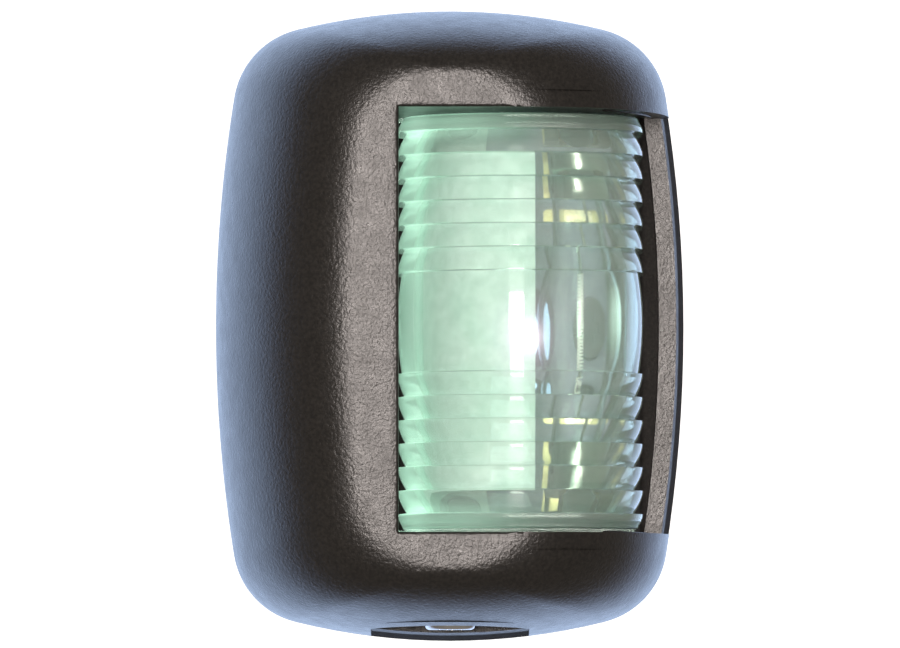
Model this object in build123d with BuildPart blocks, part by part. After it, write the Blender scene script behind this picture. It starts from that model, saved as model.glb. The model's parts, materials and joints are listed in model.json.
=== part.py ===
from build123d import *

import os
from math import cos, radians, sin

# Starboard navigation sidelight for a vertical face, in millimetres.
# The mounting face is the plane y = 0 and the light stands out from it towards -Y. +Z is up and
# +X is forward, towards the bow. The origin is the middle of the mounting face.

# ---------------------------------------------------------------- driving dimensions
total_width = 59.6
total_height = 80.0
total_depth = 40.0
side_bow = 184.0  # radius of the bowed left and right sides
end_bow = 82.0  # radius of the bowed top and bottom
corner_radius = 10.4

gasket_thickness = 1.5
gasket_inset = 1.5
floor_front = 4.5  # front of the base floor, measured from the mounting face
base_front = 10.0  # front of the base rim, where the hood starts
rim_width = 3.2
rim_bevel_width = 1.0  # steep bevel round the front of the rim, seen from the front
rim_bevel_depth = 3.0
rear_rounding = 0.6

hood_wall = 2.2
shoulder_width = 18.0  # how far the hood rolls in at each side, seen from the front
shoulder_height = 9.3  # how far it rolls in at top and bottom
shoulder_turn = 84  # degrees of the quarter ellipse that are used before the flat front
shoulder_steps = 6
window_left = -6.4
window_half_height = 26.5
jamb_face = -7.1
shelf_wall = 2.1
shelf_corner = 1.5

drum_x = 8.9
drum_y = -21.0
drum_radius = 15.5
lens_wall = 2.0
lens_half_height = 26.0
lens_cap = 2.0
bull_half_height = 6.25  # the plain band in the middle of the lens
bull_crown = 0.4
prism_pitch = 2.95
prism_count = 7
prism_step = 0.3
prism_step_growth = 0.08
flange_back = 8.2
flange_thickness = 1.6
flange_left = -10.0
flange_right = 23.6
flange_half_height = 29.0
flange_corner = 2.0

seal_left = -9.6
seal_right = 24.2
seal_half_height = 28.6
seal_width = 2.2
seal_back = 6.7
seal_front = 8.1
seal_corner = 2.4

carrier_left = -3.8
carrier_right = 21.6
carrier_half_height = 22.8
carrier_back = 9.0
carrier_front = 11.4
carrier_corner = 2.0
carrier_screw_places = [(0.6, 15.0), (0.6, -15.0), (18.4, 0.0)]
carrier_boss_radius = 3.0
carrier_screw_radius = 1.25
carrier_screw_head_radius = 2.6
carrier_screw_head = 1.7
carrier_screw_reach = 5.2  # from the carrier's front face into its boss

screen_thickness = 0.8
screen_half_height = 21.0
screen_bend = 1.2
screen_foot_end = 4.4
screen_radius = 12.3  # outer face of its curved front, round the drum's axis
screen_front_turn = 98  # degrees of that curve, from the left side past the front

bulb_x = 16.5
bulb_y = -20.0
glass_radius = 5.5  # at the middle of its bulge
glass_wall = 0.6
glass_shoulder = 8.6  # where the bulge runs into the neck
glass_end = 15.5
neck_radius = 3.6
cap_radius = 4.0
cap_open = 13.0
cap_floor = 16.5
cone_start = 18.0
bulb_half_length = 20.5
cone_tip_radius = 1.2
filament_half = 5.0
filament_radius = 0.35
support_radius = 0.25

contact_thickness = 0.6
contact_half_width = 4.5
contact_blade = 19.2  # inner face of each upright blade, above and below the middle
contact_blade_front = 24.5
contact_slot_radius = 2.75
contact_foot_end = 9.5
contact_corner = 0.8
rivet_height = 16.8
rivet_radius = 1.1
rivet_head_radius = 1.8
rivet_head = 0.6
rivet_taper = 20.0
terminal_height = 12.3
terminal_screw_radius = 1.3
terminal_head_radius = 2.2
terminal_head = 1.5
terminal_slot_depth = 0.8
clamp_side = 5.2
clamp_thickness = 0.6

cable_x = 9.0
grommet_bore = 2.5
grommet_neck = 4.0
grommet_flange = 5.2
grommet_lip = 1.1
grommet_taper = 15.0
wire_hole = 4.0

mount_x = -17.5
mount_spacing = 44.0
mount_hole_radius = 2.1
mount_pad_radius = 4.6
mount_pad = 1.0

tongue_x = 10.0
tongue_z = 37.9
tongue_width = 6.0
tongue_thickness = 1.2
tongue_length = 3.5
tongue_clearance = 0.15

pocket_half_width = 10.0
pocket_straight = 22.5  # where the pocket's straight sides end, measured from the mounting face
pocket_nose = 28.0  # foremost point of its rounded front
pocket_ceiling = -35.9
ceiling_thickness = 1.5
pocket_wall = 1.5
keeper_half_width = 5.0
keeper_front = 24.0
keeper_top = -29.6
keeper_bottom = -34.2
keeper_corner = 0.6
screw_y = -19.0
screw_radius = 1.75
screw_tip = -30.4
screw_head_radius = 3.2
screw_head = 2.0
screw_play = 0.05
washer_thickness = 0.7
washer_radius = 3.6
washer_bore = 1.9
insert_radius = 2.9
insert_length = 4.0
notch_radius = 2.2
drive_width = 1.0
drive_depth = 1.0
screw_head_rounding = 0.6

# ---------------------------------------------------------------- worked-out places
half_width = total_width / 2
half_height = total_height / 2
hood_depth = total_depth - base_front
lens_inner = drum_radius - lens_wall
screen_left = drum_x - screen_radius
drum_plane = Plane(origin=(drum_x, drum_y, 0), x_dir=(1, 0, 0), z_dir=(0, -1, 0))
drum_axis = Axis((drum_x, drum_y, 0), (0, 0, -1))
bulb_plane = Plane(origin=(bulb_x, bulb_y, 0), x_dir=(1, 0, 0), z_dir=(0, -1, 0))
bulb_axis = Axis((bulb_x, bulb_y, 0), (0, 0, 1))
foot_front = carrier_front + contact_thickness
screw_head_top = pocket_ceiling - screw_play - washer_thickness
mount_places = [(mount_x, mount_spacing / 2), (mount_x, -mount_spacing / 2)]


def front_plane(depth):
    """Plane parallel to the mounting face, this far in front of it, facing forwards."""
    return Plane.XZ.offset(depth)


def bowed_outline(outline_half_width, outline_half_height, radius):
    """Outline of the light: four bowed sides that meet in rounded corners."""
    with BuildSketch(mode=Mode.PRIVATE) as outline:
        with Locations((outline_half_width - side_bow, 0)):
            Circle(side_bow)
        with Locations((side_bow - outline_half_width, 0)):
            Circle(side_bow, mode=Mode.INTERSECT)
        with Locations((0, outline_half_height - end_bow)):
            Circle(end_bow, mode=Mode.INTERSECT)
        with Locations((0, end_bow - outline_half_height)):
            Circle(end_bow, mode=Mode.INTERSECT)
        fillet(outline.vertices(), radius)
    return outline.sketch


def rounded_span(low_x, high_x, low_z, high_z, radius):
    """Rectangle between two corners, with its own corners rounded."""
    with BuildSketch(mode=Mode.PRIVATE) as rectangle:
        with Locations(((low_x + high_x) / 2, (low_z + high_z) / 2)):
            RectangleRounded(high_x - low_x, high_z - low_z, radius)
    return rectangle.sketch


def hood_sections(wall):
    """Sections of the hood, shrunk by the wall, up the elliptical shoulders to the flat front."""
    sections = Sketch()
    for turn in range(0, shoulder_turn + 1, shoulder_turn // shoulder_steps):
        inward = 1 - cos(radians(turn))
        rise = (hood_depth - wall) * sin(radians(turn)) / sin(radians(shoulder_turn))
        with BuildSketch(front_plane(base_front + rise)) as section:
            add(
                bowed_outline(
                    half_width - shoulder_width * inward - wall,
                    half_height - shoulder_height * inward - wall,
                    corner_radius - wall,
                )
            )
        sections += section.sketch
    return sections.faces()


def drum_outline(radius, back):
    """Horizontal outline of the lens: a half circle in front, straight sides back to a depth."""
    with BuildSketch(mode=Mode.PRIVATE) as outline:
        with BuildLine():
            ThreePointArc((drum_x + radius, drum_y), (drum_x, drum_y - radius), (drum_x - radius, drum_y))
            Polyline(
                (drum_x - radius, drum_y),
                (drum_x - radius, -back),
                (drum_x + radius, -back),
                (drum_x + radius, drum_y),
            )
        make_face()
    return outline.sketch


def pocket_outline(margin):
    """The screw pocket seen from above: straight sides and a rounded front."""
    side = pocket_half_width + margin
    nose = (0, -pocket_nose - margin)
    with BuildSketch(mode=Mode.PRIVATE) as outline:
        with BuildLine():
            Polyline((-side, -pocket_straight), (-side, -base_front), (side, -base_front))
            Line((side, -base_front), (side, -pocket_straight))
            ThreePointArc((side, -pocket_straight), nose, (-side, -pocket_straight))
        make_face()
    return outline.sketch


# ---------------------------------------------------------------- base, back to front
with BuildPart() as mounting_gasket:
    with BuildSketch(front_plane(0)):
        add(bowed_outline(half_width - gasket_inset, half_height - gasket_inset, corner_radius))
        with Locations(*mount_places):
            Circle(mount_hole_radius, mode=Mode.SUBTRACT)
        with Locations((cable_x, 0)):
            Circle(grommet_flange, mode=Mode.SUBTRACT)
    extrude(amount=gasket_thickness)

with BuildPart() as base_plate:
    with BuildSketch(front_plane(gasket_thickness)):
        add(bowed_outline(half_width, half_height, corner_radius))
    extrude(amount=base_front - gasket_thickness)
    rim_face = base_plate.faces().sort_by(Axis.Y)[0]
    chamfer(rim_face.edges(), rim_bevel_width, rim_bevel_depth, reference=rim_face)
    fillet(base_plate.faces().sort_by(Axis.Y)[-1].edges(), rear_rounding)
    with BuildSketch(front_plane(floor_front)):
        add(bowed_outline(half_width - rim_width, half_height - rim_width, corner_radius - rim_width))
    extrude(amount=base_front - floor_front, mode=Mode.SUBTRACT)
    # ledge that carries the lens seal
    with BuildSketch(front_plane(floor_front)):
        add(rounded_span(seal_left, seal_right, -seal_half_height, seal_half_height, seal_corner))
        offset(amount=-seal_width, mode=Mode.SUBTRACT)
    extrude(amount=seal_back - floor_front)
    # bosses for the lamp carrier, and pads round the mounting holes
    with BuildSketch(front_plane(floor_front)):
        with Locations(*carrier_screw_places):
            Circle(carrier_boss_radius)
    extrude(amount=carrier_back - floor_front)
    with BuildSketch(front_plane(floor_front)):
        with Locations(*mount_places):
            Circle(mount_pad_radius)
    extrude(amount=mount_pad)
    # arm that reaches forward under the hood and holds the screw insert
    with BuildSketch(front_plane(floor_front)):
        add(rounded_span(-keeper_half_width, keeper_half_width, keeper_bottom, keeper_top, keeper_corner))
    extrude(amount=keeper_front - floor_front)
    with BuildSketch(Plane.XY.offset(keeper_bottom)):
        with Locations((0, screw_y)):
            Circle(insert_radius)
    extrude(amount=insert_length, mode=Mode.SUBTRACT)
    # pilot holes, mounting holes, cable hole
    with BuildSketch(front_plane(carrier_back)):
        with Locations(*carrier_screw_places):
            Circle(carrier_screw_radius)
    extrude(amount=-(carrier_screw_reach - carrier_front + carrier_back), mode=Mode.SUBTRACT)
    with BuildSketch(front_plane(0)):
        with Locations(*mount_places):
            Circle(mount_hole_radius)
        with Locations((cable_x, 0)):
            Circle(grommet_neck)
    extrude(amount=base_front, mode=Mode.SUBTRACT)
    # sockets for the hood's tongues
    with BuildSketch(front_plane(base_front)):
        with Locations((-tongue_x, tongue_z), (tongue_x, tongue_z)):
            Rectangle(
                tongue_width + 2 * tongue_clearance,
                tongue_thickness + 2 * tongue_clearance,
            )
    extrude(amount=-tongue_length - tongue_clearance, mode=Mode.SUBTRACT)

with BuildPart() as cable_grommet:
    with BuildSketch(front_plane(gasket_thickness - grommet_lip)):
        with Locations((cable_x, 0)):
            Circle(grommet_flange)
    extrude(amount=grommet_lip)
    with BuildSketch(front_plane(gasket_thickness)):
        with Locations((cable_x, 0)):
            Circle(grommet_neck)
    extrude(amount=floor_front - gasket_thickness)
    with BuildSketch(front_plane(floor_front)):
        with Locations((cable_x, 0)):
            Circle(grommet_flange)
    extrude(amount=grommet_lip, taper=grommet_taper)
    with BuildSketch(front_plane(0)):
        with Locations((cable_x, 0)):
            Circle(grommet_bore)
    extrude(amount=base_front, mode=Mode.SUBTRACT)

with BuildPart() as hood_screw_insert:
    with BuildSketch(Plane.XY.offset(keeper_bottom)):
        with Locations((0, screw_y)):
            Circle(insert_radius)
            Circle(screw_radius + screw_play, mode=Mode.SUBTRACT)
    extrude(amount=insert_length)

with BuildPart() as lens_seal:
    with BuildSketch(front_plane(seal_back)):
        add(rounded_span(seal_left, seal_right, -seal_half_height, seal_half_height, seal_corner))
        offset(amount=-seal_width, mode=Mode.SUBTRACT)
    extrude(amount=seal_front - seal_back)

# ---------------------------------------------------------------- lamp carrier and contacts
with BuildPart() as lamp_carrier:
    with BuildSketch(front_plane(carrier_back)):
        add(
            rounded_span(
                carrier_left, carrier_right, -carrier_half_height, carrier_half_height, carrier_corner
            )
        )
        with Locations(*carrier_screw_places):
            Circle(carrier_screw_radius, mode=Mode.SUBTRACT)
        with Locations((bulb_x, rivet_height), (bulb_x, -rivet_height)):
            Circle(rivet_radius, mode=Mode.SUBTRACT)
        with Locations((bulb_x, terminal_height), (bulb_x, -terminal_height)):
            Circle(terminal_screw_radius, mode=Mode.SUBTRACT)
        with Locations((cable_x, 0)):
            Circle(wire_hole, mode=Mode.SUBTRACT)
    extrude(amount=carrier_front - carrier_back)

with BuildPart() as sector_screen:
    with BuildSketch(Plane.XY.offset(-screen_half_height)):
        with BuildLine():
            FilletPolyline(
                (screen_foot_end, -carrier_front),
                (screen_left, -carrier_front),
                (screen_left, drum_y),
                radius=screen_bend,
            )
            CenterArc((drum_x, drum_y), screen_radius, 180, screen_front_turn)
            offset(amount=screen_thickness, side=Side.LEFT)
        make_face()
    extrude(amount=2 * screen_half_height)
    with BuildSketch(front_plane(carrier_front)):
        with Locations(*carrier_screw_places):
            Circle(carrier_screw_radius)
    extrude(amount=screen_thickness, mode=Mode.SUBTRACT)

with BuildPart() as carrier_screws:
    for place in carrier_screw_places:
        seat = carrier_front + (screen_thickness if place[0] < screen_foot_end else 0)
        with BuildSketch(front_plane(seat)):
            with Locations(place):
                Circle(carrier_screw_head_radius)
        extrude(amount=carrier_screw_head)
        with BuildSketch(front_plane(carrier_front - carrier_screw_reach)):
            with Locations(place):
                Circle(carrier_screw_radius)
        extrude(amount=carrier_screw_reach + seat - carrier_front)
        with BuildSketch(front_plane(seat + carrier_screw_head)):
            with Locations(place):
                Rectangle(carrier_screw_head_radius, drive_width)
                Rectangle(drive_width, carrier_screw_head_radius)
        extrude(amount=-drive_depth, mode=Mode.SUBTRACT)

with BuildPart() as upper_contact:
    with BuildSketch(front_plane(carrier_front)):
        add(
            rounded_span(
                bulb_x - contact_half_width,
                bulb_x + contact_half_width,
                contact_foot_end,
                contact_blade + contact_thickness,
                contact_corner,
            )
        )
        with Locations((bulb_x, rivet_height)):
            Circle(rivet_radius, mode=Mode.SUBTRACT)
        with Locations((bulb_x, terminal_height)):
            Circle(terminal_screw_radius, mode=Mode.SUBTRACT)
    extrude(amount=contact_thickness)
    with BuildSketch(Plane.XY.offset(contact_blade)):
        add(
            rounded_span(
                bulb_x - contact_half_width,
                bulb_x + contact_half_width,
                -contact_blade_front,
                -carrier_front,
                contact_corner,
            )
        )
        with Locations((bulb_x, bulb_y)):
            Circle(contact_slot_radius, mode=Mode.SUBTRACT)
            with Locations((0, -contact_slot_radius)):
                Rectangle(2 * contact_slot_radius, 2 * contact_slot_radius, mode=Mode.SUBTRACT)
    extrude(amount=contact_thickness)

with BuildPart() as lower_contact:
    mirror(upper_contact.part, about=Plane.XY)

with BuildPart() as contact_rivets:
    rivet_places = [(bulb_x, rivet_height), (bulb_x, -rivet_height)]
    with BuildSketch(front_plane(carrier_back - rivet_head)):
        with Locations(*rivet_places):
            Circle(rivet_head_radius)
    extrude(amount=rivet_head)
    with BuildSketch(front_plane(carrier_back)):
        with Locations(*rivet_places):
            Circle(rivet_radius)
    extrude(amount=foot_front - carrier_back)
    with BuildSketch(front_plane(foot_front)):
        with Locations(*rivet_places):
            Circle(rivet_head_radius)
    extrude(amount=rivet_head, taper=rivet_taper)

with BuildPart() as terminal_clamps:
    with BuildSketch(front_plane(foot_front)):
        with Locations((bulb_x, terminal_height), (bulb_x, -terminal_height)):
            RectangleRounded(clamp_side, clamp_side, contact_corner)
            Circle(terminal_screw_radius, mode=Mode.SUBTRACT)
    extrude(amount=clamp_thickness)

with BuildPart() as terminal_screws:
    terminal_places = [(bulb_x, terminal_height), (bulb_x, -terminal_height)]
    with BuildSketch(front_plane(carrier_back)):
        with Locations(*terminal_places):
            Circle(terminal_screw_radius)
    extrude(amount=foot_front + clamp_thickness - carrier_back)
    with BuildSketch(front_plane(foot_front + clamp_thickness)):
        with Locations(*terminal_places):
            Circle(terminal_head_radius)
    extrude(amount=terminal_head)
    with BuildSketch(front_plane(foot_front + clamp_thickness + terminal_head)):
        with Locations(*terminal_places):
            Rectangle(2 * terminal_head_radius, drive_width)
    extrude(amount=-terminal_slot_depth, mode=Mode.SUBTRACT)

# ---------------------------------------------------------------- bulb
with BuildPart() as bulb_glass:
    with BuildSketch(bulb_plane):
        with BuildLine():
            Line((neck_radius, glass_end), (neck_radius, glass_shoulder))
            ThreePointArc((neck_radius, glass_shoulder), (glass_radius, 0), (neck_radius, -glass_shoulder))
            Line((neck_radius, -glass_shoulder), (neck_radius, -glass_end))
            offset(amount=glass_wall, side=Side.RIGHT)
        make_face()
    revolve(axis=bulb_axis)

with BuildPart() as bulb_cap_upper:
    with BuildSketch(bulb_plane):
        with BuildLine():
            Polyline(
                (0, cap_floor),
                (neck_radius, cap_floor),
                (neck_radius, cap_open),
                (cap_radius, cap_open),
                (cap_radius, cone_start),
                (cone_tip_radius, bulb_half_length),
                (0, bulb_half_length),
                close=True,
            )
        make_face()
    revolve(axis=bulb_axis)

with BuildPart() as bulb_cap_lower:
    mirror(bulb_cap_upper.part, about=Plane.XY)

with BuildPart() as bulb_filament:
    with BuildSketch(Plane.XY.offset(-filament_half)):
        with Locations((bulb_x, bulb_y)):
            Circle(filament_radius)
    extrude(amount=2 * filament_half)

with BuildPart() as filament_supports:
    with BuildSketch(Plane.XY.offset(filament_half)):
        with Locations((bulb_x, bulb_y)):
            Circle(support_radius)
    extrude(amount=cap_floor - filament_half)
    mirror(about=Plane.XY)

# ---------------------------------------------------------------- lens
crown_edge = drum_radius - bull_crown
prism_profile = [(crown_edge, bull_half_height)]
for number in range(prism_count - 1):
    prism_start = bull_half_height + number * prism_pitch
    prism_drop = prism_step + number * prism_step_growth
    prism_profile.append((drum_radius, prism_start))
    prism_profile.append((drum_radius - prism_drop, prism_start + prism_pitch))
prism_profile.append((drum_radius, bull_half_height + (prism_count - 1) * prism_pitch))
prism_profile.append((drum_radius, lens_half_height))

with BuildPart() as lens:
    # one half of the stepped profile, turned through the half drum
    with BuildSketch(drum_plane) as steps:
        with BuildLine():
            ThreePointArc((crown_edge, -bull_half_height), (drum_radius, 0), prism_profile[0])
            Polyline(*prism_profile)
            Polyline(
                (drum_radius, lens_half_height),
                (0, lens_half_height),
                (0, -lens_half_height),
                (drum_radius, -lens_half_height),
            )
            Polyline(*[(radius, -height) for radius, height in prism_profile])
        make_face()
    revolve(axis=drum_axis, revolution_arc=180)
    # straight sides back to the flange
    with BuildSketch(drum_plane):
        add(steps.sketch_local)
        mirror(about=Plane.YZ)
    extrude(amount=drum_y + flange_back)
    with BuildSketch(front_plane(flange_back)):
        add(
            rounded_span(
                flange_left, flange_right, -flange_half_height, flange_half_height, flange_corner
            )
        )
    extrude(amount=flange_thickness)
    # hollow, open to the back
    with BuildSketch(Plane.XY.offset(lens_cap - lens_half_height)):
        add(drum_outline(lens_inner, flange_back))
    extrude(amount=2 * (lens_half_height - lens_cap), mode=Mode.SUBTRACT)

# ---------------------------------------------------------------- hood and its screw
with BuildPart() as hood_envelope:
    add(hood_sections(0))
    loft()

with BuildPart() as hood:
    add(hood_envelope.part)
    add(hood_sections(hood_wall))
    loft(mode=Mode.SUBTRACT)
    # box round the window: a jamb beside the lens and a shelf above and below it
    with BuildSketch(front_plane(base_front)):
        add(
            rounded_span(
                jamb_face - shelf_wall,
                total_width,
                -window_half_height - shelf_wall,
                window_half_height + shelf_wall,
                shelf_corner,
            )
        )
    extrude(amount=hood_depth)
    # floor and sides of the screw pocket in the underside
    with BuildSketch(Plane.XY.offset(pocket_ceiling + ceiling_thickness)):
        add(pocket_outline(pocket_wall))
    extrude(amount=-half_height - pocket_ceiling)
    add(hood_envelope.part, mode=Mode.INTERSECT)
    # window, its hollow behind the jamb, the pocket and the screw notch
    with BuildSketch(front_plane(base_front)):
        with Locations(((window_left + total_width) / 2, 0)):
            Rectangle(total_width - window_left, 2 * window_half_height)
    extrude(amount=hood_depth, mode=Mode.SUBTRACT)
    with BuildSketch(front_plane(base_front)):
        with Locations(((jamb_face + total_width) / 2, 0)):
            Rectangle(total_width - jamb_face, 2 * window_half_height)
    extrude(amount=hood_depth - hood_wall, mode=Mode.SUBTRACT)
    with BuildSketch(Plane.XY.offset(pocket_ceiling)):
        add(pocket_outline(0))
    extrude(amount=-half_height - pocket_ceiling, mode=Mode.SUBTRACT)
    with BuildSketch(Plane.XY.offset(pocket_ceiling)):
        with Locations((0, screw_y)):
            Circle(notch_radius)
            with Locations((0, (-base_front - screw_y) / 2)):
                Rectangle(2 * notch_radius, -base_front - screw_y)
    extrude(amount=ceiling_thickness, mode=Mode.SUBTRACT)
    with BuildSketch(front_plane(base_front - tongue_length)):
        with Locations((-tongue_x, tongue_z), (tongue_x, tongue_z)):
            Rectangle(tongue_width, tongue_thickness)
    extrude(amount=tongue_length)

with BuildPart() as hood_screw_washer:
    with BuildSketch(Plane.XY.offset(pocket_ceiling - screw_play)):
        with Locations((0, screw_y)):
            Circle(washer_radius)
            Circle(washer_bore, mode=Mode.SUBTRACT)
    extrude(amount=-washer_thickness)

with BuildPart() as hood_screw:
    with BuildSketch(Plane.XY.offset(screw_head_top)):
        with Locations((0, screw_y)):
            Circle(screw_radius)
    extrude(amount=screw_tip - screw_head_top)
    with BuildSketch(Plane.XY.offset(screw_head_top)):
        with Locations((0, screw_y)):
            Circle(screw_head_radius)
    extrude(amount=-screw_head)
    fillet(hood_screw.faces().sort_by(Axis.Z)[0].edges(), screw_head_rounding)
    with BuildSketch(Plane.XY.offset(screw_head_top - screw_head)):
        with Locations((0, screw_y)):
            Rectangle(2 * screw_head_radius, drive_width)
    extrude(amount=drive_depth, mode=Mode.SUBTRACT)

# ---------------------------------------------------------------- labels and files
pieces = {
    "mounting_gasket": mounting_gasket,
    "base_plate": base_plate,
    "cable_grommet": cable_grommet,
    "hood_screw_insert": hood_screw_insert,
    "lens_seal": lens_seal,
    "lamp_carrier": lamp_carrier,
    "sector_screen": sector_screen,
    "carrier_screws": carrier_screws,
    "upper_contact": upper_contact,
    "lower_contact": lower_contact,
    "contact_rivets": contact_rivets,
    "terminal_clamps": terminal_clamps,
    "terminal_screws": terminal_screws,
    "bulb_glass": bulb_glass,
    "bulb_cap_upper": bulb_cap_upper,
    "bulb_cap_lower": bulb_cap_lower,
    "bulb_filament": bulb_filament,
    "filament_supports": filament_supports,
    "lens": lens,
    "hood": hood,
    "hood_screw_washer": hood_screw_washer,
    "hood_screw": hood_screw,
}
os.makedirs("parts", exist_ok=True)
for name, piece in pieces.items():
    piece.part.label = name
    export_step(piece.part, f"parts/{name}.step")
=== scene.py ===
import json
import math

import bmesh
import bpy
import numpy as np
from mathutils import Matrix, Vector


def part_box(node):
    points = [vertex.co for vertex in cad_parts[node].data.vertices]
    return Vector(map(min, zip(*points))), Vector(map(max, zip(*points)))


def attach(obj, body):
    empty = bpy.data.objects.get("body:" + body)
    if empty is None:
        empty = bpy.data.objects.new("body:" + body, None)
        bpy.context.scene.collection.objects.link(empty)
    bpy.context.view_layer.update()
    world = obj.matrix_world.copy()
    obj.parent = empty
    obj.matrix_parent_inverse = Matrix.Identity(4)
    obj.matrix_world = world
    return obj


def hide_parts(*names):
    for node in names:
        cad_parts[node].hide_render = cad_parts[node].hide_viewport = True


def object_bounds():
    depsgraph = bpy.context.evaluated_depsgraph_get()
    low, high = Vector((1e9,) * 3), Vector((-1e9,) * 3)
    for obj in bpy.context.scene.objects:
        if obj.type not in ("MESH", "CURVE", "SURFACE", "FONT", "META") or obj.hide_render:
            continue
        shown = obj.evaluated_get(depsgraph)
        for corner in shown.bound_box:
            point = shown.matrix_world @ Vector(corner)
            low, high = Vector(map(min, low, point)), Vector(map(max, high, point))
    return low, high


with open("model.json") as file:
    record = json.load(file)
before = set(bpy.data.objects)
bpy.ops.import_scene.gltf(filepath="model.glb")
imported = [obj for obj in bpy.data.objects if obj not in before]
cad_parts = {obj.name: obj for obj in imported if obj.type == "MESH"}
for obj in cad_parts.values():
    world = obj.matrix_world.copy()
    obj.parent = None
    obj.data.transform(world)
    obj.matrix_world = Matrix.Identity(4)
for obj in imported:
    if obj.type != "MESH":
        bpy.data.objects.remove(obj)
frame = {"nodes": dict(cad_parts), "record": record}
cad_low, cad_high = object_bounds()

MM = 0.001

# ------------------------------------------------------------------ sizes of the light, in millimetres
HALF_WIDTH = (cad_high.x - cad_low.x) / 2 / MM
HALF_HEIGHT = (cad_high.z - cad_low.z) / 2 / MM
DEPTH = -cad_low.y / MM
BASE_FRONT = 10.0
SIDE_BOW = 184.0
END_BOW = 82.0
CORNER = 10.4
SHOULDER_WIDTH = 18.0
SHOULDER_HEIGHT = 9.3
WINDOW_LEFT = -6.4
WINDOW_HALF = 26.5
HOOD_WALL = 2.2
JAMB_RECESS = 0.7
EDGE_ROUND = 0.35
POCKET_HALF = 10.0
POCKET_STRAIGHT = 22.5
POCKET_NOSE = 28.0
POCKET_CEILING = -35.9
NOTCH_HALF = 2.2
NOTCH_END = 19.0
LENS_BACK = -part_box("lens")[1].y / MM
DRUM_X = 8.9
DRUM_Y = -21.0
DRUM_RADIUS = 15.5
LENS_WALL = 2.0
LENS_HALF = 26.0
BULL_HALF = 6.25
PRISM_PITCH = 2.95
PRISM_COUNT = 7
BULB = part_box("bulb_glass")
BULB_X = (BULB[0].x + BULB[1].x) / 2 / MM
BULB_Y = (BULB[0].y + BULB[1].y) / 2 / MM


# ------------------------------------------------------------------ mesh helpers
def piece_from_blocks(name, blocks, weld=0.002, sharp_deg=32.0):
    """One mesh from blocks of grid points, welded where they meet.

    A block is an array of shape (rows, columns, 3) in millimetres, or a pair of it and a
    mask of shape (rows - 1, columns - 1) that is true where a face is kept. The face between
    points (r, c), (r, c+1), (r+1, c+1), (r+1, c) is wound in that order.
    """
    points, faces, start = [], [], 0
    for block in blocks:
        grid, keep = block if isinstance(block, tuple) else (block, None)
        rows, columns = grid.shape[:2]
        index = start + np.arange(rows * columns).reshape(rows, columns)
        quads = np.stack([index[:-1, :-1], index[:-1, 1:], index[1:, 1:], index[1:, :-1]], axis=-1)
        faces.append(quads[keep] if keep is not None else quads.reshape(-1, 4))
        points.append(grid.reshape(-1, 3))
        start += rows * columns
    mesh = bpy.data.meshes.new(name)
    mesh.from_pydata(np.concatenate(points) * MM, [], np.concatenate(faces).tolist())
    work = bmesh.new()
    work.from_mesh(mesh)
    bmesh.ops.remove_doubles(work, verts=work.verts, dist=weld * MM)
    bmesh.ops.dissolve_degenerate(work, edges=work.edges, dist=weld * MM)
    loose = [v for v in work.verts if not v.link_faces]
    bmesh.ops.delete(work, geom=loose, context="VERTS")
    work.to_mesh(mesh)
    work.free()
    mesh.shade_smooth()
    mesh.set_sharp_from_angle(angle=math.radians(sharp_deg))
    piece = bpy.data.objects.new(name, mesh)
    bpy.context.scene.collection.objects.link(piece)
    return piece


def steps(low, high, count):
    """Evenly spaced values, both ends included."""
    return np.linspace(low, high, count)


# ------------------------------------------------------------------ the bowed outline
def outline_frame(half_w, half_h):
    """Centre of the corner arc and the two angles at which it meets the bowed side and end.

    Side arc: centre (half_w - SIDE_BOW, 0). End arc: centre (0, half_h - END_BOW). The corner
    arc of radius CORNER touches both from inside, so its centre is SIDE_BOW - CORNER from the
    first centre and END_BOW - CORNER from the second.
    """
    side_x = half_w - SIDE_BOW
    end_z = half_h - END_BOW
    reach_side = SIDE_BOW - CORNER
    reach_end = END_BOW - CORNER
    span = np.hypot(side_x, end_z)
    along = (reach_side**2 - reach_end**2 + span**2) / (2 * span)
    across = np.sqrt(reach_side**2 - along**2)
    ux, uz = -side_x / span, end_z / span
    centre_x = side_x + along * ux - across * uz
    centre_z = along * uz + across * ux
    side_angle = np.arctan2(centre_z, centre_x - side_x)
    end_angle = np.arctan2(centre_z - end_z, centre_x)
    return centre_x, centre_z, side_angle, end_angle


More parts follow.
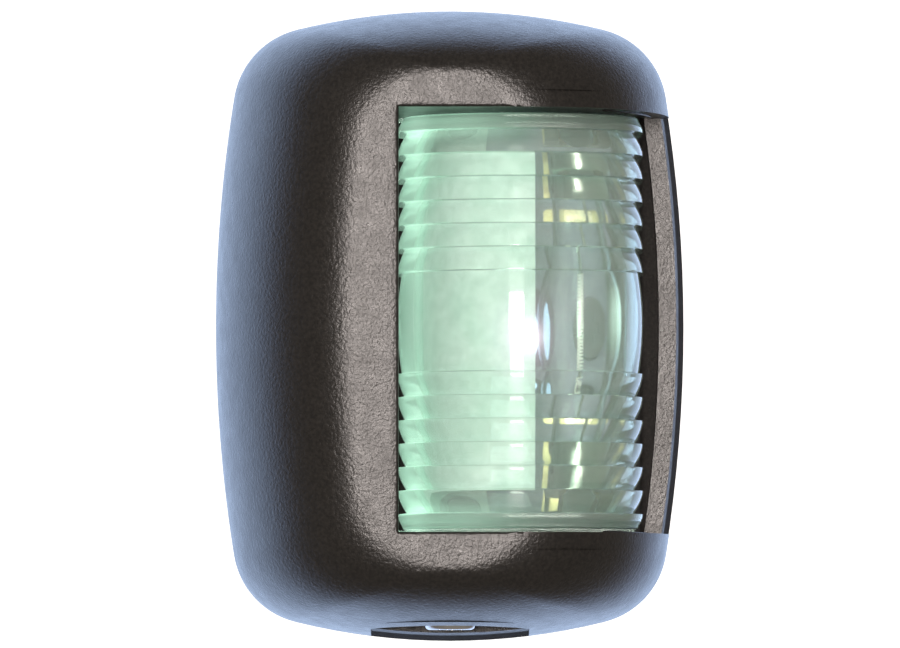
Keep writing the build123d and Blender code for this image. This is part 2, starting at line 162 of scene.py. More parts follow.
class OutlineColumns:
    """Points along the outline, from the right side at one height, over the top, down the
    left side, along the bottom and back to the right side at minus that height."""

    def __init__(self, start_height, side=14, corner=20, end_outer=10, end_inner=12):
        start = math.asin(start_height / SIDE_BOW)
        inner = steps(1, 0, end_inner + 1)
        kinds = [(0, f, start) for f in steps(0, 1, side + 1)[:-1]]
        kinds += [(1, f, start) for f in steps(0, 1, corner + 1)[:-1]]
        kinds += [(2, f, 0) for f in steps(2, 1, end_outer + 1)[:-1]]
        right = kinds + [(2, f, 0) for f in inner]
        kinds = [(0, f, 0.0) for f in steps(0, 1, 3 * side + 1)[:-1]]
        kinds += [(1, f, 0) for f in steps(0, 1, corner + 1)[:-1]]
        kinds += [(2, f, 0) for f in steps(2, 1, end_outer + 1)[:-1]]
        left = (kinds + [(2, f, 0) for f in inner])[::-1][1:]
        upper = [(*k, 1, 1) for k in right] + [(*k, -1, 1) for k in left]
        lower = [(*k[:4], -1) for k in upper[::-1]][1:]
        table = np.array(upper + lower)
        self.kind, self.fraction, self.start, self.sign_x, self.sign_z = table.T
        self.count = len(table)

    def at(self, half_w, half_h, inner_half):
        """x and z of every column; half_w, half_h and inner_half broadcast over (rows, columns).

        Side: (w - R + R cos a, R sin a). Corner: centre + r (cos b, sin b). End: z = h - R +
        sqrt(R^2 - x^2), where x runs evenly from 0 to inner_half and on to the corner arc. Where
        the corner arc already starts below the first height, the side shrinks to a point on it.
        """
        cx, cz, side_angle, end_angle = outline_frame(half_w, half_h)
        short = side_angle < self.start
        first = np.arcsin(np.clip((SIDE_BOW * np.sin(self.start) - cz) / CORNER, -1, 1))
        first = np.where(short, first, side_angle)
        a = self.start + self.fraction * (side_angle - self.start)
        side = (np.where(short, cx + CORNER * np.cos(first), half_w - SIDE_BOW + SIDE_BOW * np.cos(a)),
                np.where(short, cz + CORNER * np.sin(first), SIDE_BOW * np.sin(a)))
        b = first + self.fraction * (end_angle - first)
        corner = (cx + CORNER * np.cos(b), cz + CORNER * np.sin(b))
        touch = END_BOW * np.cos(end_angle)
        outer = inner_half + (self.fraction - 1) * (touch - inner_half)
        end_x = np.where(self.fraction > 1, outer, self.fraction * inner_half)
        end = (end_x, half_h - END_BOW + np.sqrt(END_BOW**2 - end_x**2))
        x = np.select([self.kind == 0, self.kind == 1], [side[0], corner[0]], end[0])
        z = np.select([self.kind == 0, self.kind == 1], [side[1], corner[1]], end[1])
        return x * self.sign_x, z * self.sign_z


# ------------------------------------------------------------------ hood
def shoulder(turn):
    """Half width, half height and depth of the hood's outline after turning this far, in
    radians, up its elliptical shoulder: w = W - a (1 - cos t), h = H - b (1 - cos t),
    depth = base + (D - base) sin t."""
    inward = 1 - np.cos(turn)
    depth = BASE_FRONT + (DEPTH - BASE_FRONT) * np.sin(turn)
    return HALF_WIDTH - SHOULDER_WIDTH * inward, HALF_HEIGHT - SHOULDER_HEIGHT * inward, depth


def pocket_front(x):
    """Depth of the screw pocket's rounded front at x: an arc through its nose and both sides."""
    sag = POCKET_NOSE - POCKET_STRAIGHT
    radius = (POCKET_HALF**2 + sag**2) / (2 * sag)
    return POCKET_NOSE - radius + np.sqrt(np.maximum(radius**2 - x**2, 0))


def make_hood():
    """The hood as one folded sheet, thickened inwards.

    Columns follow the bowed outline from the end of the upper arm round to the end of the
    lower arm. Rows climb the shoulder, cross the flat front to the window, roll over its edge
    and run back along the shelves and the jamb. The screw pocket is sunk into the underside.
    """
    columns = OutlineColumns(WINDOW_HALF)
    pocket_rows, rest_rows = 12, 26
    flat = math.asin((POCKET_STRAIGHT - BASE_FRONT) / (DEPTH - BASE_FRONT))
    turn = np.concatenate([steps(0, flat, pocket_rows + 1), steps(flat, math.pi / 2, rest_rows + 1)[1:]])
    turn = np.repeat(turn[:, None], columns.count, axis=1)

    # in the pocket's columns the rows bend forward so that one of them is its rounded front
    under = (columns.sign_z < 0) & (columns.kind == 2) & (columns.fraction <= 1)
    across = columns.fraction * POCKET_HALF
    nose = np.arcsin((pocket_front(across) - BASE_FRONT) / (DEPTH - BASE_FRONT))
    bent = np.where(turn <= flat, turn * nose / flat,
                    nose + (turn - flat) * (math.pi / 2 - nose) / (math.pi / 2 - flat))
    turn = np.where(under, bent, turn)

    half_w, half_h, depth = shoulder(turn)
    _, _, _, end_angle = outline_frame(half_w, half_h)
    _, _, _, base_angle = outline_frame(*[np.float64(v) for v in shoulder(math.asin(0.6))[:2]])
    touch = END_BOW * np.cos(end_angle)
    inner_half = POCKET_HALF * np.minimum(1, touch / (END_BOW * np.cos(base_angle)))
    x, z = columns.at(half_w, half_h, inner_half)
    shell = np.stack([x, -depth, z], axis=-1)

    # window edge: the point of it that each column runs to, and the way from it to the outline
    rim = shell[-1]
    edge_x = np.clip(rim[:, 0], WINDOW_LEFT, None)
    edge_z = np.clip(rim[:, 2], -WINDOW_HALF, WINDOW_HALF)
    arm_end = rim[0, 0]
    along = (edge_x - WINDOW_LEFT) / (arm_end - WINDOW_LEFT)
    out_x = np.where(rim[:, 0] < WINDOW_LEFT, -1.0, 0.0)
    out_z = np.where(np.abs(rim[:, 2]) >= WINDOW_HALF, np.sign(rim[:, 2]), 0.0)
    roll = EDGE_ROUND * np.clip((arm_end - edge_x) / 1.5, 0, 1)

    # flat front, from the shoulder's last row to the start of the rolled window edge
    start = np.stack([edge_x + out_x * roll, rim[:, 1], edge_z + out_z * roll], axis=-1)
    t = steps(0, 1, 7)[1:, None, None]
    front = rim * (1 - t) + start * t
    # rolled edge: a quarter circle of radius roll
    b = steps(0, math.pi / 2, 5)[1:, None]
    edge = np.stack([edge_x + out_x * roll * (1 - np.sin(b)),
                     rim[:, 1] + roll * (1 - np.cos(b)),
                     edge_z + out_z * roll * (1 - np.sin(b))], axis=-1)
    # shelves and jamb, back to the base; the jamb steps aside to clear the drum
    climb = np.sin(turn[::-1][1:, :1])
    wall_y = -BASE_FRONT - (DEPTH - BASE_FRONT - roll) * climb
    right = shell[::-1][1:, :1, 0]
    step_in = JAMB_RECESS * np.clip((wall_y + DEPTH - 1.6) / 0.8, 0, 1)
    wall_x = (WINDOW_LEFT - step_in) + along * (right - WINDOW_LEFT + step_in)
    wall = np.stack([wall_x, wall_y, np.broadcast_to(edge_z, wall_x.shape)], axis=-1)
    sheet = np.concatenate([shell, front, edge, wall])

    keep = np.ones((sheet.shape[0] - 1, sheet.shape[1] - 1), bool)
    in_pocket = under[:-1] & under[1:]
    keep[:pocket_rows, in_pocket] = False

    # pocket: its walls rise from the mouth to the ceiling; a notch for the screw is left open
    first, last = np.flatnonzero(under)[[0, -1]]
    mouth = shell[: pocket_rows + 1, first: last + 1]
    ceiling = mouth.copy()
    ceiling[..., 2] = POCKET_CEILING
    open_notch = np.ones((pocket_rows, last - first), bool)
    mid_x = (ceiling[1:, 1:, 0] + ceiling[:-1, :-1, 0]) / 2
    mid_y = (ceiling[1:, 1:, 1] + ceiling[:-1, :-1, 1]) / 2
    open_notch &= ~((np.abs(mid_x) < NOTCH_HALF) & (mid_y > -NOTCH_END))
    lip = np.concatenate([mouth[:, 0], mouth[-1, 1:], mouth[::-1][1:, -1]])
    top = lip.copy()
    top[:, 2] = POCKET_CEILING
    rise = steps(0, 1, 6)[:, None, None]
    walls = lip * (1 - rise) + top * rise

    return piece_from_blocks("hood_shell", [(sheet, keep), (ceiling, open_notch), walls[::-1]])


# ------------------------------------------------------------------ lens
def lens_profile():
    """Depth below the drum's full radius, and height, up the outside of the lens.

    The middle band is a shallow arc, e = crown (z / half)^2. Each prism above it starts at full
    radius and falls away as e = drop f^1.7, f running from 0 to 1 over its pitch, with drop
    growing from band to band. The lower half mirrors the upper.
    """
    crown, first_drop, growth, riser, end_drop, rim_round = 0.5, 0.85, 0.06, 0.14, 0.55, 0.45
    z = list(steps(0, BULL_HALF, 12))
    e = [crown * (v / BULL_HALF) ** 2 for v in z]
    for number in range(PRISM_COUNT - 1):
        foot = BULL_HALF + number * PRISM_PITCH
        drop = first_drop + growth * number
        f = steps(0, 1, 8)
        z += list(foot + riser + f * (PRISM_PITCH - riser))
        e += list(drop * f**1.7)
    edge = BULL_HALF + (PRISM_COUNT - 1) * PRISM_PITCH
    f = steps(0, 1, 6)
    z += list(edge + riser + f * (LENS_HALF - rim_round - edge - riser))
    e += list(end_drop * f**1.7)
    turn = steps(0, math.pi / 2, 5)[1:]
    z += list(LENS_HALF - rim_round * (1 - np.sin(turn)))
    e += list(end_drop + rim_round * (1 - np.cos(turn)))
    z, e = np.array(z), np.array(e)
    return np.concatenate([e[:0:-1], e]), np.concatenate([-z[:0:-1], z])


def drum_path(arc=72, side=10):
    """Directions from the drum's axis and backward shifts along the U-shaped path: straight
    forward on the left, a half circle (-cos a, -sin a) round the front, straight back."""
    a = steps(0, math.pi, arc + 1)
    back = steps(-DRUM_Y - LENS_BACK, 0, side + 1)[:-1]
    to_x = np.concatenate([-np.ones(side), -np.cos(a), np.ones(side)])
    to_y = np.concatenate([np.zeros(side), -np.sin(a), np.zeros(side)])
    shift = np.concatenate([back, np.zeros(arc + 1), back[::-1]])
    return to_x, to_y, shift


def drum_skin(e, z):
    """Points of the profile (e, z) carried along the drum path: axis + (R - e) direction."""
    to_x, to_y, shift = drum_path()
    reach = (DRUM_RADIUS - e)[:, None]
    x = DRUM_X + reach * to_x
    y = DRUM_Y + reach * to_y + shift
    return np.stack([x, y, np.broadcast_to(z[:, None], x.shape)], axis=-1)


def drum_end(rim, cross=10):
    """Flat end of the drum, ruled between each point of the rim and its opposite one."""
    half = rim.shape[0] // 2 + 1
    t = steps(0, 1, cross + 1)[:, None, None]
    return rim[:half] * (1 - t) + rim[::-1][:half] * t


def flange_strip(low_x, high_x, half_z, width_left, width_z, y_front, y_back, corner=2.0, fall=0.5):
    """A flat strip round three sides of a rectangle, open on the right: its square section
    follows an outer line with two rounded corners and an inner line with two small ones, and
    its front falls away outwards."""
    a = steps(0, math.pi / 2, 7)

    def line(x0, z1, r):
        xs = np.concatenate([[high_x], x0 + r - r * np.sin(a), x0 + r - r * np.cos(a), [high_x]])
        zs = np.concatenate([[z1], z1 - r + r * np.cos(a), -z1 + r - r * np.sin(a), [-z1]])
        return np.stack([xs, zs], axis=-1)

    outer = line(low_x, half_z, corner)
    inner = line(low_x + width_left, half_z - width_z, 0.4)
    rows = [(outer, y_front + fall), (inner, y_front), (inner, y_back), (outer, y_back),
            (outer, y_front + fall)]
    strip = np.stack([np.stack([p[:, 0], np.full(len(p), y), p[:, 1]], axis=-1) for p, y in rows])
    ends = [np.stack([strip[[0, 1], c], strip[[3, 2], c]]) for c in (0, -1)]
    return [strip, ends[0][::-1], ends[1]]


def make_lens():
    """The stepped drum lens: outer skin and ends, inner skin and ends, and the ring that joins
    them at the open back; its flange is a strip round three sides of the drum's back."""
    e, z = lens_profile()
    outer = drum_skin(e, z)
    inner_z = np.sign(z) * np.minimum(np.abs(z), LENS_HALF - 2.0)
    inner = drum_skin(np.full(e.shape, LENS_WALL), inner_z)
    blocks = [outer, drum_end(outer[-1]), drum_end(outer[0])[::-1]]
    blocks += [inner[:, ::-1], drum_end(inner[-1])[::-1], drum_end(inner[0])]
    for side in (0, -1):
        ring = np.stack([outer[:, side], inner[:, side]])
        blocks.append(ring if side == 0 else ring[::-1])
    for end in (0, -1):
        rim_out, rim_in = drum_end(outer[end])[:, 0], drum_end(inner[end])[:, 0]
        ring = np.stack([rim_out, rim_in])
        blocks.append(ring[::-1] if end == 0 else ring)
    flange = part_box("lens")
    gap = 0.03
    front = LENS_BACK + 1.6
    blocks += flange_strip(flange[0].x / MM, 23.6, flange[1].z / MM,
                           DRUM_X - DRUM_RADIUS - gap - flange[0].x / MM,
                           flange[1].z / MM - LENS_HALF - gap, -front, -LENS_BACK)
    return piece_from_blocks("lens_drum", blocks, weld=0.004, sharp_deg=24.0)


# ------------------------------------------------------------------ lamp
def turned(profile, x, y, segments=64):
    """A profile of (radius, height) pairs turned about a vertical axis at x, y:
    (x + r cos a, y + r sin a, z)."""
    profile = np.asarray(profile, float)
    a = steps(0, 2 * math.pi, segments + 1)
    r = profile[:, 0][:, None]
    z = np.broadcast_to(profile[:, 1][:, None], (len(profile), segments + 1))
    return np.stack([x + r * np.cos(a), y + r * np.sin(a), z], axis=-1)


def tube(path, radius, sides=8):
    """A round tube: circles of the given radius set square to each step of the path."""
    path = np.asarray(path, float)
    along = np.gradient(path, axis=0)
    along /= np.linalg.norm(along, axis=1)[:, None]
    side = np.cross(along, [0.31, 0.87, 0.38])
    side /= np.linalg.norm(side, axis=1)[:, None]
    up = np.cross(along, side)
    a = steps(0, 2 * math.pi, sides + 1)[None, :, None]
    ring = path[:, None] + radius * (np.cos(a) * side[:, None] + np.sin(a) * up[:, None])
    return np.concatenate([np.repeat(path[:1, None], sides + 1, 1), ring,
                           np.repeat(path[-1:, None], sides + 1, 1)])


def make_bulb_glass():
    """Blown glass with a bulge: r = neck + (bulge - neck)(1 + cos(pi f)) / 2, where
    f = (|z| / shoulder)^1.4, and a neck at each end; the wall is of even thickness."""
    bulge, neck, wall, shoulder_z, end = 5.45, 3.5, 0.5, 8.6, 15.4
    z = np.concatenate([steps(-end, -shoulder_z, 4)[:-1], steps(-shoulder_z, shoulder_z, 45),
                        steps(shoulder_z, end, 4)[1:]])
    f = np.clip(np.abs(z) / shoulder_z, 0, 1) ** 1.4
    r = neck + (bulge - neck) * (1 + np.cos(math.pi * f)) / 2
    loop = np.concatenate([np.stack([r, z], 1), np.stack([r - wall, z], 1)[::-1]])
    return piece_from_blocks("lamp_envelope", [turned(np.concatenate([loop, loop[:1]]), BULB_X, BULB_Y)])


def make_bulb_cap(name, up):
    """Drawn cap: a cylinder with a rolled rim and a waist, and a cone that ends in a solder tip."""
    profile = [(0, 16.6), (3.62, 16.6), (3.62, 13.2), (3.75, 13.0), (3.92, 13.05), (4.0, 13.3), (4.0, 14.3),
               (3.86, 14.6), (3.86, 15.0), (4.0, 15.3), (4.0, 17.6), (3.9, 17.95), (3.7, 18.15),
               (1.55, 20.0), (1.3, 20.1), (1.2, 20.3), (0.9, 20.47), (0.5, 20.5), (0, 20.5)]
    profile = [(r, z * up) for r, z in (profile if up > 0 else profile[::-1])]
    return piece_from_blocks(name, [turned(profile, BULB_X, BULB_Y, 48)], sharp_deg=40.0)


def make_filament():
    """Coiled tungsten: a helix x = r cos a, y = r sin a, z = p a, bowed forward by a cosine."""
    coil, wire, half, turns = 0.34, 0.085, 5.0, 30
    a = steps(0, 2 * math.pi * turns, turns * 14)
    z = half * (2 * a / a[-1] - 1)
    bow = 0.9 * np.cos(z / half * math.pi / 2)
    path = np.stack([BULB_X + coil * np.cos(a), BULB_Y - bow + coil * np.sin(a), z], axis=-1)
    return piece_from_blocks("lamp_filament", [tube(path, wire, 6)], weld=0.0005)


def make_supports():
    """Two bent wires: from the axis inside each cap, an S of sine shape to the filament's end."""
    blocks = []
    for up in (-1, 1):
        f = steps(0, 1, 24)
        z = up * (16.4 - 11.4 * f)
        x = BULB_X + 1.6 * np.sin(math.pi * f) * (1 - f)
        blocks.append(tube(np.stack([x, np.full(f.shape, BULB_Y), z], axis=-1), 0.18, 10))
    return piece_from_blocks("lamp_supports", blocks, weld=0.0005)


# ------------------------------------------------------------------ pieces and what they stand for
PIECES = [
    (make_hood(), "hood", "hood_body", "black_abs"),
    (make_lens(), "lens", "lens_body", "green_polycarbonate"),
    (make_bulb_glass(), "bulb_glass", "lamp", "lamp_glass"),
    (make_bulb_cap("lamp_cap_upper", 1), "bulb_cap_upper", "lamp", "lamp_cap"),
    (make_bulb_cap("lamp_cap_lower", -1), "bulb_cap_lower", "lamp", "lamp_cap"),
    (make_filament(), "bulb_filament", "lamp", "tungsten"),
    (make_supports(), "filament_supports", "lamp", "lamp_cap"),
]
for piece, node_name, body, slot_name in PIECES:
    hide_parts(node_name)
    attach(piece, body)


# ------------------------------------------------------------------ materials
def linear(colour):
    """sRGB hex to linear: c / 12.92 up to 0.04045, ((c + 0.055) / 1.055)^2.4 above."""
    parts = np.array([int(colour[i:i + 2], 16) / 255 for i in (1, 3, 5)])
    out = np.where(parts <= 0.04045, parts / 12.92, ((parts + 0.055) / 1.055) ** 2.4)
    return (*map(float, out), 1.0)


def add(tree, kind, settings=None, links=None):
    """Adds a node, sets its properties and sockets by name, and links sockets to outputs."""
    node = tree.nodes.new(kind)
    for key, value in (settings or {}).items():
        if isinstance(key, int) or key in node.inputs:
            node.inputs[key].default_value = value
        else:
            setattr(node, key, value)
    for key, (source, output) in (links or {}).items():
        tree.links.new(source.outputs[output], node.inputs[key])
    return node


def new_material(name):
    material = bpy.data.materials.new(name)
    material.use_nodes = True
    tree = material.node_tree
    tree.nodes.clear()
    return material, tree


def per_metre(size_mm):
    """Texture scale that makes a pattern's cells this many millimetres across."""
    return 1 / (size_mm * MM)


FLOW_MM = 2.2


def moulded(name, dark, light, roughness, grain_mm, grain_height_mm, spread=0.08, matt_behind=None):
    """A moulded plastic or rubber skin: the mould's fine texture as bump and as a faint
    mottle of colour, and weak changes of gloss, FLOW_MM across, where the melt flowed. Where matt_behind
    is given, all that lies behind that depth is dull."""
    material, tree = new_material(name)
    place = add(tree, "ShaderNodeTexCoord")
    grain = add(tree, "ShaderNodeTexNoise",
                {"Scale": per_metre(grain_mm), "Detail": 3.0, "Roughness": 0.6},
                {"Vector": (place, "Object")})
    flow = add(tree, "ShaderNodeTexNoise",
               {"Scale": per_metre(FLOW_MM), "Detail": 4.0, "Roughness": 0.6}, {"Vector": (place, "Object")})
    colour = add(tree, "ShaderNodeValToRGB", {}, {"Fac": (grain, "Fac")})
    colour.color_ramp.elements[0].color = linear(dark)
    colour.color_ramp.elements[0].position = 0.36
    colour.color_ramp.elements[1].color = linear(light)
    colour.color_ramp.elements[1].position = 0.66
    gloss = add(tree, "ShaderNodeMapRange",
                {"From Min": 0.3, "From Max": 0.7,
                 "To Min": roughness - spread, "To Max": roughness + spread},
                {"Value": (flow, "Fac")})
    bump = add(tree, "ShaderNodeBump", {"Strength": 1.0, "Distance": grain_height_mm * MM},
               {"Height": (grain, "Fac")})
    surface = add(tree, "ShaderNodeBsdfPrincipled", {},
                  {"Base Color": (colour, "Color"), "Roughness": (gloss, "Result"),
                   "Normal": (bump, "Normal")})
    if matt_behind:
        parts = add(tree, "ShaderNodeSeparateXYZ", {}, {"Vector": (place, "Object")})
        inside = add(tree, "ShaderNodeMapRange",
                     {"From Min": -matt_behind * MM, "From Max": (0.4 - matt_behind) * MM, "To Max": 0.55},
                     {"Value": (parts, "Y")})
        dull = add(tree, "ShaderNodeMath", {"operation": "ADD"},
                   {0: (gloss, "Result"), 1: (inside, "Result")})
        tree.links.new(dull.outputs[0], surface.inputs["Roughness"])
    add(tree, "ShaderNodeOutputMaterial", {}, {"Surface": (surface, "BSDF")})
    return material


def metal(name, colour, worn, roughness, streak_mm, stretch=(1, 1, 1)):
    """Bare metal: streaks from rolling or turning change its gloss, and a slow tarnish its colour."""
    material, tree = new_material(name)
    place = add(tree, "ShaderNodeTexCoord")
    lie = add(tree, "ShaderNodeMapping", {"Scale": stretch}, {"Vector": (place, "Object")})
    streak = add(tree, "ShaderNodeTexNoise",
                 {"Scale": per_metre(streak_mm), "Detail": 4.0, "Roughness": 0.65},
                 {"Vector": (lie, "Vector")})
    tarnish = add(tree, "ShaderNodeTexNoise",
                  {"Scale": per_metre(3.0), "Detail": 3.0, "Roughness": 0.6}, {"Vector": (place, "Object")})
    tone = add(tree, "ShaderNodeValToRGB", {}, {"Fac": (tarnish, "Fac")})
    tone.color_ramp.elements[0].color = linear(worn)
    tone.color_ramp.elements[0].position = 0.3
    tone.color_ramp.elements[1].color = linear(colour)
    tone.color_ramp.elements[1].position = 0.62
    gloss = add(tree, "ShaderNodeMapRange",
                {"To Min": roughness * 0.7, "To Max": roughness * 1.4}, {"Value": (streak, "Fac")})
    bump = add(tree, "ShaderNodeBump", {"Strength": 0.4, "Distance": 0.01 * MM}, {"Height": (streak, "Fac")})
    surface = add(tree, "ShaderNodeBsdfPrincipled", {"Metallic": 1.0},
                  {"Base Color": (tone, "Color"), "Roughness": (gloss, "Result"), "Normal": (bump, "Normal")})
    add(tree, "ShaderNodeOutputMaterial", {}, {"Surface": (surface, "BSDF")})
    return material


def bell(tree, place, centre_mm, radius_mm):
    """exp(-d^2), where d is the way from a centre in units of a radius for each axis, and an
    axis whose radius is 0 doesn't count."""
    scale = [1 / (r * MM) if r else 0 for r in radius_mm]
    offset = [-c * MM * k for c, k in zip(centre_mm, scale)]
    centred = add(tree, "ShaderNodeMapping", {"Location": offset, "Scale": scale},
                  {"Vector": (place, "Object")})
    square = add(tree, "ShaderNodeVectorMath", {"operation": "DOT_PRODUCT"},
                 {0: (centred, "Vector"), 1: (centred, "Vector")})
    minus = add(tree, "ShaderNodeMath", {"operation": "MULTIPLY", 1: -1.0}, {0: (square, "Value")})
    return add(tree, "ShaderNodeMath", {"operation": "EXPONENT"}, {0: (minus, 0)})


def paint_glow_spots(tree, place, surface, painted_spots):
    """Painted glow and painted highlights in clear material, as emission: the sum over the
    painted spots, each (colour, strength, centre, radius), of colour strength bell."""
    total = None
    for colour, strength, centre_mm, radius_mm in painted_spots:
        share = bell(tree, place, centre_mm, radius_mm)
        light = add(tree, "ShaderNodeVectorMath",
                    {"operation": "SCALE", 0: [strength * c for c in linear(colour)[:3]]},
                    {"Scale": (share, 0)})
        if total is None:
            total = light
        else:
            total = add(tree, "ShaderNodeVectorMath", {"operation": "ADD"}, {0: (total, 0), 1: (light, 0)})
    tree.links.new(total.outputs[0], surface.inputs["Emission Color"])
    surface.inputs["Emission Strength"].default_value = 1.0


def clear_moulding(name, pale, deep, roughness, ior, clear=1.0, painted_spots=()):
    """Clear plastic or glass: light goes through and is bent; faint swirls of colour and of
    surface from the melt keep it from looking like a perfect solid. Painted glow and painted
    highlights, as emission, show in it at the painted spots."""
    material, tree = new_material(name)
    place = add(tree, "ShaderNodeTexCoord")
    swirl = add(tree, "ShaderNodeTexNoise",
                {"Scale": per_metre(7.0), "Detail": 3.0, "Roughness": 0.55, "Distortion": 0.6},
                {"Vector": (place, "Object")})
    tint = add(tree, "ShaderNodeValToRGB", {}, {"Fac": (swirl, "Fac")})
    tint.color_ramp.elements[0].color = linear(deep)
    tint.color_ramp.elements[0].position = 0.3
    tint.color_ramp.elements[1].color = linear(pale)
    tint.color_ramp.elements[1].position = 0.7
    bump = add(tree, "ShaderNodeBump", {"Strength": 0.5, "Distance": 0.02 * MM}, {"Height": (swirl, "Fac")})
    surface = add(tree, "ShaderNodeBsdfPrincipled",
                  {"Transmission Weight": clear, "IOR": ior, "Roughness": roughness},
                  {"Base Color": (tint, "Color"), "Normal": (bump, "Normal")})
    # painted glow and painted highlights, as emission
    if painted_spots:
        paint_glow_spots(tree, place, surface, painted_spots)
    add(tree, "ShaderNodeOutputMaterial", {}, {"Surface": (surface, "BSDF")})
    return material


def glowing(name, colour, strength):
    """White-hot wire: brightest at its middle, duller towards its two cooler ends,
    strength s (1 - (z / reach)^2)."""
    material, tree = new_material(name)
    place = add(tree, "ShaderNodeTexCoord")
    parts = add(tree, "ShaderNodeSeparateXYZ", {}, {"Vector": (place, "Object")})
    share = add(tree, "ShaderNodeMath", {"operation": "DIVIDE", 1: 6.0 * MM}, {0: (parts, "Z")})
    square = add(tree, "ShaderNodeMath", {"operation": "MULTIPLY"}, {0: (share, 0), 1: (share, 0)})
    power = add(tree, "ShaderNodeMapRange", {"To Min": strength, "To Max": strength * 0.2},
                {"Value": (square, 0)})
    surface = add(tree, "ShaderNodeBsdfPrincipled",
                  {"Base Color": linear("#5a5550"), "Metallic": 1.0, "Roughness": 0.5,
                   "Emission Color": linear(colour)},
                  {"Emission Strength": (power, "Result")})
    add(tree, "ShaderNodeOutputMaterial", {}, {"Surface": (surface, "BSDF")})
    return material


# Moulded ABS from a spark-eroded mould: satin black, a fine even grain that breaks up highlights.
ABS_SKIN = ("#12100e", "#221f1c", 0.31, 0.45, 0.075, 0.04)
black_abs = moulded("moulded_abs_satin_black", *ABS_SKIN)
# The same ABS on the base, whose inner floor and walls are left rough from the mould.
base_abs = moulded("moulded_abs_base", *ABS_SKIN, matt_behind=9.2)
# Painted light in the lens, as emission: a painted glow of a hot spot and its haze, where the wall faces the
# lamp past the screen's edge, then a painted highlight along the drum's left side, and painted glow at its
# upper and lower ends.
PAINTED_LENS_GLOW = [
    ("#ffe6f4", 0.55, (9.9, 0, -2.1), (1.4, 0, 1.5)),
    ("#ffc4ff", 0.12, (9.6, 0, -2.1), (3.4, 0, 4.2)),
    ("#b8e4cc", 0.26, (-4.6, 0, 0), (2.0, 0, 0)),
    ("#b4e8cc", 0.20, (1.0, 0, 24.2), (7.0, 0, 2.0)),
    ("#b4e8cc", 0.16, (1.0, 0, -24.2), (7.0, 0, 2.0)),
]
# Clear green polycarbonate, injection-moulded and polished: sharp reflections, pale green body, and the
# painted glow and painted highlights above, as emission.
green_polycarbonate = clear_moulding("moulded_polycarbonate_green", "#dff0e8", "#cce6da", 0.05, 1.585,
                                     clear=0.87, painted_spots=PAINTED_LENS_GLOW)
# Cellular EPDM: matt, open grain.
black_epdm = moulded("cellular_epdm_black", "#101011", "#1c1c1d", 0.85, 0.45, 0.05)
# Glass-filled nylon: dull, a little coarser than ABS.
black_nylon = moulded("moulded_nylon_grey", "#4c5060", "#5f6475", 0.5, 0.40, 0.015)
# Stoved enamel on aluminium sheet: a dull, clean white with a faint orange peel.
white_enamel = moulded("stoved_enamel_white", "#a2aeaa", "#b3bdb9", 0.85, 1.2, 0.01)
# Rolled spring strip: rolling streaks along the strip.
phosphor_bronze = metal("rolled_phosphor_bronze", "#b2a878", "#857b50", 0.30, 0.5, (1, 1, 6))
# Turned and nickel-flashed brass.
nickel_brass = metal("turned_nickel_brass", "#d8cfae", "#a99a70", 0.25, 0.4)
# Turned stainless steel.
stainless_steel = metal("turned_stainless_steel", "#c9c9c7", "#a3a3a2", 0.22, 0.3)
# Blackened steel of the screws that hold the carrier: dark, and too dull to mirror a light.
blackened_steel = metal("blackened_steel", "#47484b", "#303133", 0.55, 0.3)
# Clear blown glass of the lamp, with a painted highlight as emission: a pale crescent near its right edge.
lamp_glass = clear_moulding("blown_lamp_glass", "#ffffff", "#f6fbfb", 0.0, 1.5,
                            painted_spots=[("#f0fff4", 0.55, (BULB_X + 5.0, 0, 1.0), (0.55, 0, 3.6))])
# Nickel-plated drawn cap.
lamp_cap = metal("drawn_nickel_plate", "#d6d2c8", "#aaa59a", 0.18, 0.6, (1, 1, 4))
# Lit tungsten coil.
tungsten = glowing("lit_tungsten_coil", "#fff2e6", 1.6)

FINISHES = {
    "black_abs": black_abs, "green_polycarbonate": green_polycarbonate, "black_epdm": black_epdm,
    "black_nylon": black_nylon, "white_enamel": white_enamel, "phosphor_bronze": phosphor_bronze,
    "nickel_brass": nickel_brass, "stainless_steel": stainless_steel, "lamp_glass": lamp_glass,
    "lamp_cap": lamp_cap, "tungsten": tungsten,
}
SLOT_OF = {s["node"]: s["material_slot"] for s in frame["record"]["subparts"]}
for node_name, node_object in frame["nodes"].items():
    node_object.data.materials.clear()
    node_object.data.materials.append(FINISHES[SLOT_OF[node_name]])
for node_name, finish in (("base_plate", base_abs), ("carrier_screws", blackened_steel)):
    frame["nodes"][node_name].data.materials.clear()
    frame["nodes"][node_name].data.materials.append(finish)
for piece, _, _, slot_name in PIECES:
    piece.data.materials.clear()
    piece.data.materials.append(FINISHES[slot_name])

hood_shell, lens_drum, lamp_envelope = [piece for piece, *_ in PIECES[:3]]
# clear pieces let the light through instead of casting a solid shadow
lens_drum.visible_shadow = False
lamp_envelope.visible_shadow = False

thick = hood_shell.modifiers.new("wall", "SOLIDIFY")
thick.thickness = HOOD_WALL * MM
thick.offset = -1.0
thick.use_even_offset = True

# ------------------------------------------------------------------ camera, light and stage
centre = (cad_low + cad_high) / 2
camera_data = bpy.data.cameras.new("camera")
camera = bpy.data.objects.new("camera", camera_data)
bpy.context.scene.collection.objects.link(camera)
bpy.context.scene.camera = camera
# a long lens from far off, a little below the light's middle
CAMERA_TILT = math.radians(-1.8)
CAMERA_DISTANCE = 1.40
CAMERA_LENS = 443.0
back = Vector((0, -math.cos(CAMERA_TILT), math.sin(CAMERA_TILT)))
camera.location = centre + back * CAMERA_DISTANCE
camera.rotation_mode = "QUATERNION"
camera.rotation_quaternion = (-back).to_track_quat("-Z", "Y")
camera_data.sensor_width = 36.0
camera_data.lens = CAMERA_LENS
camera_data.clip_start = 0.05
camera_data.clip_end = 50


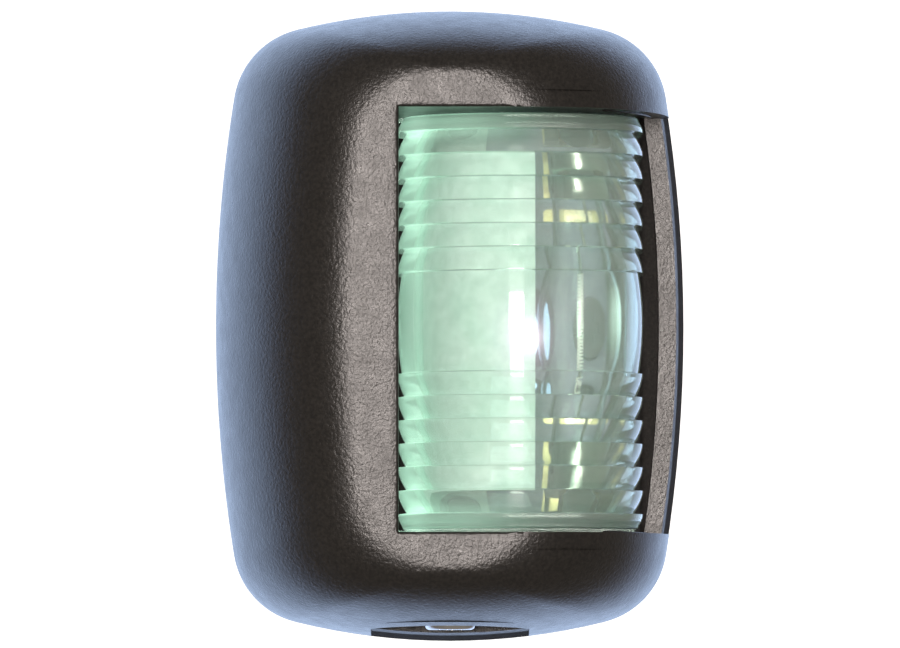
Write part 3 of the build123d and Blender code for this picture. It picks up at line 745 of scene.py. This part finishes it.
def soft_light(name, place, target, size, power, colour):
    """A rectangular soft box at a place, facing a target; sizes in metres, power in watts."""
    data = bpy.data.lights.new(name, "AREA")
    data.shape = "RECTANGLE"
    data.size, data.size_y = size
    data.energy = power
    data.color = linear(colour)[:3]
    light = bpy.data.objects.new(name, data)
    bpy.context.scene.collection.objects.link(light)
    light.location = place
    light.rotation_mode = "QUATERNION"
    light.rotation_quaternion = (Vector(target) - Vector(place)).to_track_quat("-Z", "Y")
    return light


soft_light("front_box", (-0.10, -1.6, 0.12), centre, (0.37, 0.42), 19.5, "#fff4ee")
fill = soft_light("front_fill", (-0.3, -1.5, 0.9), centre, (1.2, 1.2), 12.0, "#f4fbff")
fill.visible_glossy = False


FIELD_AXIS = (-0.30, 0.95, 0.07)


def make_world():
    """The room: radiance by how far a direction points along an axis that runs backwards, a
    little to the left and up. A pale blue field behind the light, as wide as 50 degrees off that
    axis, fades to a dim warm room at the sides and front; what the camera sees of it directly
    is plain white."""
    world = bpy.data.worlds.new("studio")
    world.use_nodes = True
    tree = world.node_tree
    tree.nodes.clear()
    place = add(tree, "ShaderNodeTexCoord")
    along = add(tree, "ShaderNodeVectorMath", {"operation": "DOT_PRODUCT", 1: FIELD_AXIS},
                {0: (place, "Generated")})
    share = add(tree, "ShaderNodeMapRange", {"From Min": -1.0, "From Max": 1.0}, {"Value": (along, "Value")})
    field = add(tree, "ShaderNodeValToRGB", {}, {"Fac": (share, "Result")})
    warm_room = (0.30, 0.27, 0.24)
    stops = [(0.0, *warm_room), (0.65, *warm_room), (0.73, 0.52, 0.54, 0.70),
             (0.80, 0.95, 1.17, 1.66), (0.90, 1.28, 1.64, 2.32), (1.0, 1.15, 1.48, 2.10)]
    ramp = field.color_ramp
    for _ in stops[2:]:
        ramp.elements.new(0.5)
    for element, (position, *colour) in zip(ramp.elements, stops):
        element.position = position
        element.color = (*colour, 1.0)
    seen = add(tree, "ShaderNodeLightPath")
    both = add(tree, "ShaderNodeMix", {"data_type": "RGBA"}, {"Factor": (seen, "Is Camera Ray")})
    tree.links.new(field.outputs["Color"], both.inputs[6])
    both.inputs[7].default_value = (1, 1, 1, 1)
    surface = add(tree, "ShaderNodeBackground", {}, {"Color": (both, 2)})
    add(tree, "ShaderNodeOutputWorld", {}, {"Surface": (surface, "Background")})
    bpy.context.scene.world = world


make_world()


def make_stage():
    """Floor and backdrop in one sheet: flat, then a quarter circle up, then a wall; the profile
    (y, z) is the same at every x."""
    low, reach, radius, height = -0.40, 1.2, 0.8, 3.0
    a = steps(0, math.pi / 2, 25)
    y = np.concatenate([[-4.0, reach - 0.4], reach + radius * np.sin(a), [reach + radius]])
    z = np.concatenate([[low, low], low + radius * (1 - np.cos(a)), [height]])
    x = steps(-5, 5, 3)
    grid = np.stack([np.broadcast_to(x, (len(y), 3)), np.broadcast_to(y[:, None], (len(y), 3)),
                     np.broadcast_to(z[:, None], (len(y), 3))], axis=-1)
    backdrop = piece_from_blocks("backdrop", [grid / MM], weld=1.0, sharp_deg=60.0)
    material, tree = new_material("studio_paper_white")
    surface = add(tree, "ShaderNodeBsdfPrincipled",
                  {"Base Color": linear("#f4f4f2"), "Roughness": 0.9,
                   "Emission Color": linear("#ffffff"), "Emission Strength": 0.9})
    add(tree, "ShaderNodeOutputMaterial", {}, {"Surface": (surface, "BSDF")})
    backdrop.data.materials.append(material)
    backdrop.visible_glossy = False
    backdrop.visible_diffuse = False
    backdrop.visible_transmission = False
    backdrop.visible_shadow = False


make_stage()
bpy.context.scene.view_settings.view_transform = "Standard"
